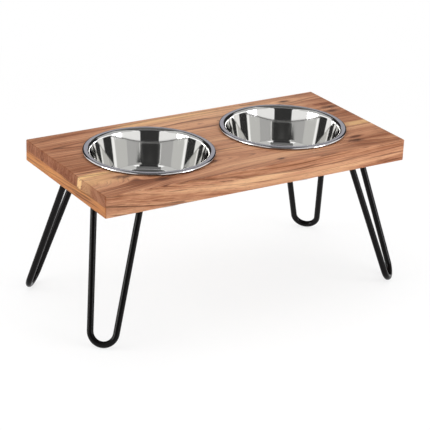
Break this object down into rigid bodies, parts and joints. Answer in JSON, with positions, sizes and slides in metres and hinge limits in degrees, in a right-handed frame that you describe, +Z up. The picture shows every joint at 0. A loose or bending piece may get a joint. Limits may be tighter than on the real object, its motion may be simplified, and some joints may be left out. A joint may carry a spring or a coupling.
{
  "type": "raised pet feeder",
  "caption": "Raised wooden feeding stand on splayed black hairpin legs, with polished steel bowls that drop into round openings in the top and lift out for cleaning.",
  "frame": {"origin": "on the floor, under the middle of the wooden top", "axes": "+X along the top's length, from the left bowl to the right one; +Y to the back; +Z up"},
  "size_m": [0.4734, 0.2304, 0.2111],
  "materials": {
    "oiled_wood": "red-brown hardwood, oiled, satin",
    "edge_wood": "lighter orange-brown hardwood, oiled, satin",
    "polished_steel": "stainless steel, polished inside, satin rim",
    "black_coat": "black powder coat, satin",
    "black_screw": "blackened steel"
  },
  "bodies": {
    "stand": {"front_stave": "oiled_wood", "back_stave": "oiled_wood", "middle_stave_left": "oiled_wood", "middle_stave_centre": "oiled_wood", "middle_stave_right": "oiled_wood", "front_edge_band": "edge_wood", "back_edge_band": "edge_wood", "left_edge_band": "edge_wood", "right_edge_band": "edge_wood", "hairpin_rod_front_left": "black_coat", "hairpin_rod_front_right": "black_coat", "hairpin_rod_back_left": "black_coat", "hairpin_rod_back_right": "black_coat", "leg_plate_front_left": "black_coat", "leg_plate_front_right": "black_coat", "leg_plate_back_left": "black_coat", "leg_plate_back_right": "black_coat", "leg_screws_front_left": "black_screw", "leg_screws_front_right": "black_screw", "leg_screws_back_left": "black_screw", "leg_screws_back_right": "black_screw"},
    "left_bowl": {"bowl_left": "polished_steel"},
    "right_bowl": {"bowl_right": "polished_steel"}
  },
  "joints": [
    {"name": "left_bowl_lift", "type": "slide", "parent": "stand", "child": "left_bowl", "axis": [0, 0, 1], "range_m": [0, 0.12]},
    {"name": "right_bowl_lift", "type": "slide", "parent": "stand", "child": "right_bowl", "axis": [0, 0, 1], "range_m": [0, 0.12]}
  ]
}
